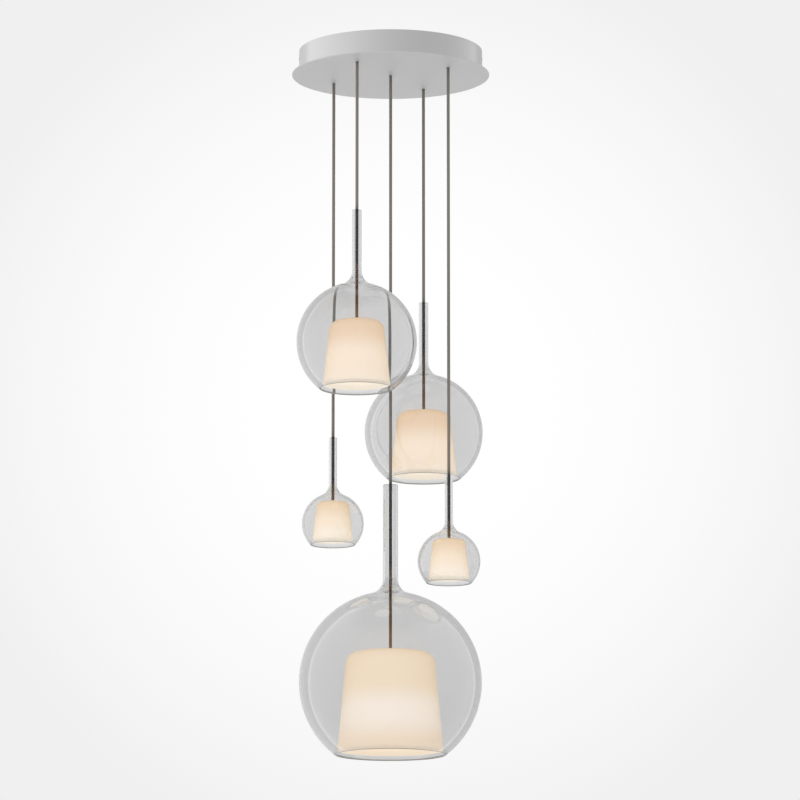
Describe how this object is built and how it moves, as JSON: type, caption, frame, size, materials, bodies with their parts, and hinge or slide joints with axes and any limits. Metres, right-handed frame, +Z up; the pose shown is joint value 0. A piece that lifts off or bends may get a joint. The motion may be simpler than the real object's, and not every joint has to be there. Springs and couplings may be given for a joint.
{
  "type": "cluster pendant chandelier",
  "caption": "Round ceiling canopy with cords that carry clear glass globes on long necks, open below, each with a lit opal glass shade and a bulb inside.",
  "frame": {"origin": "middle of the face that lies on the ceiling, in the axis of the supply bush", "axes": "+Z up into the ceiling, +X to the right and +Y away from a viewer in front, as in the picture; the ceiling bar runs along X"},
  "size_m": [0.4179, 0.4924, 1.4972],
  "materials": {
    "satin_metal": "satin nickel, fine brushing",
    "zinc_steel": "zinc plated",
    "dark_chrome": "polished tube",
    "brass": "turned",
    "clear_glass": "clear blown, fire polished edges",
    "opal_glass": "satin opal, lit from inside",
    "bulb_white": "frosted bulb with a plated screw cap",
    "clear_seat": "clear moulded",
    "cord_sleeve": "smooth round sleeve",
    "earth_sleeve": "green and yellow sleeve",
    "white_plastic": "heat resistant moulding",
    "nylon": "moulded nylon",
    "black_rubber": "moulded"
  },
  "bodies": {
    "canopy": {"ceiling_bar": "zinc_steel", "supply_bush": "black_rubber", "canopy_drum": "satin_metal", "canopy_plate": "satin_metal", "side_screws": "satin_metal", "plate_nuts": "zinc_steel", "cord_grips": "nylon", "grip_screws": "zinc_steel", "terminal_block": "white_plastic", "terminal_screws": "brass", "block_screws": "zinc_steel", "inner_leads": "cord_sleeve", "earth_lead": "earth_sleeve", "earth_fixings": "brass"},
    "small_high_cord_run": {"small_high_cord": "cord_sleeve"},
    "small_high_pendant": {"small_high_stem": "dark_chrome", "small_high_glass_seat": "clear_seat", "small_high_globe": "clear_glass", "small_high_shade": "opal_glass", "small_high_shade_carrier": "zinc_steel", "small_high_lampholder": "white_plastic", "small_high_bulb": "bulb_white"},
    "medium_high_cord_run": {"medium_high_cord": "cord_sleeve"},
    "medium_high_pendant": {"medium_high_stem": "dark_chrome", "medium_high_glass_seat": "clear_seat", "medium_high_globe": "clear_glass", "medium_high_shade": "opal_glass", "medium_high_shade_carrier": "zinc_steel", "medium_high_lampholder": "white_plastic", "medium_high_bulb": "bulb_white"},
    "large_cord_run": {"large_cord": "cord_sleeve"},
    "large_pendant": {"large_stem": "dark_chrome", "large_glass_seat": "clear_seat", "large_globe": "clear_glass", "large_shade": "opal_glass", "large_shade_carrier": "zinc_steel", "large_lampholder": "white_plastic", "large_bulb": "bulb_white"},
    "medium_low_cord_run": {"medium_low_cord": "cord_sleeve"},
    "medium_low_pendant": {"medium_low_stem": "dark_chrome", "medium_low_glass_seat": "clear_seat", "medium_low_globe": "clear_glass", "medium_low_shade": "opal_glass", "medium_low_shade_carrier": "zinc_steel", "medium_low_lampholder": "white_plastic", "medium_low_bulb": "bulb_white"},
    "small_low_cord_run": {"small_low_cord": "cord_sleeve"},
    "small_low_pendant": {"small_low_stem": "dark_chrome", "small_low_glass_seat": "clear_seat", "small_low_globe": "clear_glass", "small_low_shade": "opal_glass", "small_low_shade_carrier": "zinc_steel", "small_low_lampholder": "white_plastic", "small_low_bulb": "bulb_white"}
  },
  "joints": [
    {"name": "small_high_swing", "type": "hinge", "parent": "canopy", "child": "small_high_cord_run", "pos_m": [-0.12124, 0.07, -0.052], "axis": [-0.866, 0.5, 0], "range_deg": [-4, 4]},
    {"name": "small_high_tilt", "type": "hinge", "parent": "small_high_cord_run", "child": "small_high_pendant", "pos_m": [-0.12124, 0.07, -0.8188], "axis": [-0.5, -0.866, 0], "range_deg": [-4, 4]},
    {"name": "medium_high_swing", "type": "hinge", "parent": "canopy", "child": "medium_high_cord_run", "pos_m": [-0.07, -0.12124, -0.052], "axis": [-0.5, -0.866, 0], "range_deg": [-4, 4]},
    {"name": "medium_high_tilt", "type": "hinge", "parent": "medium_high_cord_run", "child": "medium_high_pendant", "pos_m": [-0.07, -0.12124, -0.3698], "axis": [0.866, -0.5, 0], "range_deg": [-4, 1.5]},
    {"name": "large_swing", "type": "hinge", "parent": "canopy", "child": "large_cord_run", "pos_m": [0, 0, -0.052], "axis": [0.5, 0.866, 0], "range_deg": [-2, 2]},
    {"name": "large_tilt", "type": "hinge", "parent": "large_cord_run", "child": "large_pendant", "pos_m": [0, 0, -0.9308], "axis": [-0.866, 0.5, 0], "range_deg": [-3, 3]},
    {"name": "medium_low_swing", "type": "hinge", "parent": "canopy", "child": "medium_low_cord_run", "pos_m": [0.07, 0.12124, -0.052], "axis": [0.5, 0.866, 0], "range_deg": [-4, 4]},
    {"name": "medium_low_tilt", "type": "hinge", "parent": "medium_low_cord_run", "child": "medium_low_pendant", "pos_m": [0.07, 0.12124, -0.5188], "axis": [-0.866, 0.5, 0], "range_deg": [-4, 1.5]},
    {"name": "small_low_swing", "type": "hinge", "parent": "canopy", "child": "small_low_cord_run", "pos_m": [0.12124, -0.07, -0.052], "axis": [0.866, -0.5, 0], "range_deg": [-4, 4]},
    {"name": "small_low_tilt", "type": "hinge", "parent": "small_low_cord_run", "child": "small_low_pendant", "pos_m": [0.12124, -0.07, -0.9198], "axis": [0.5, 0.866, 0], "range_deg": [-4, 4]}
  ]
}
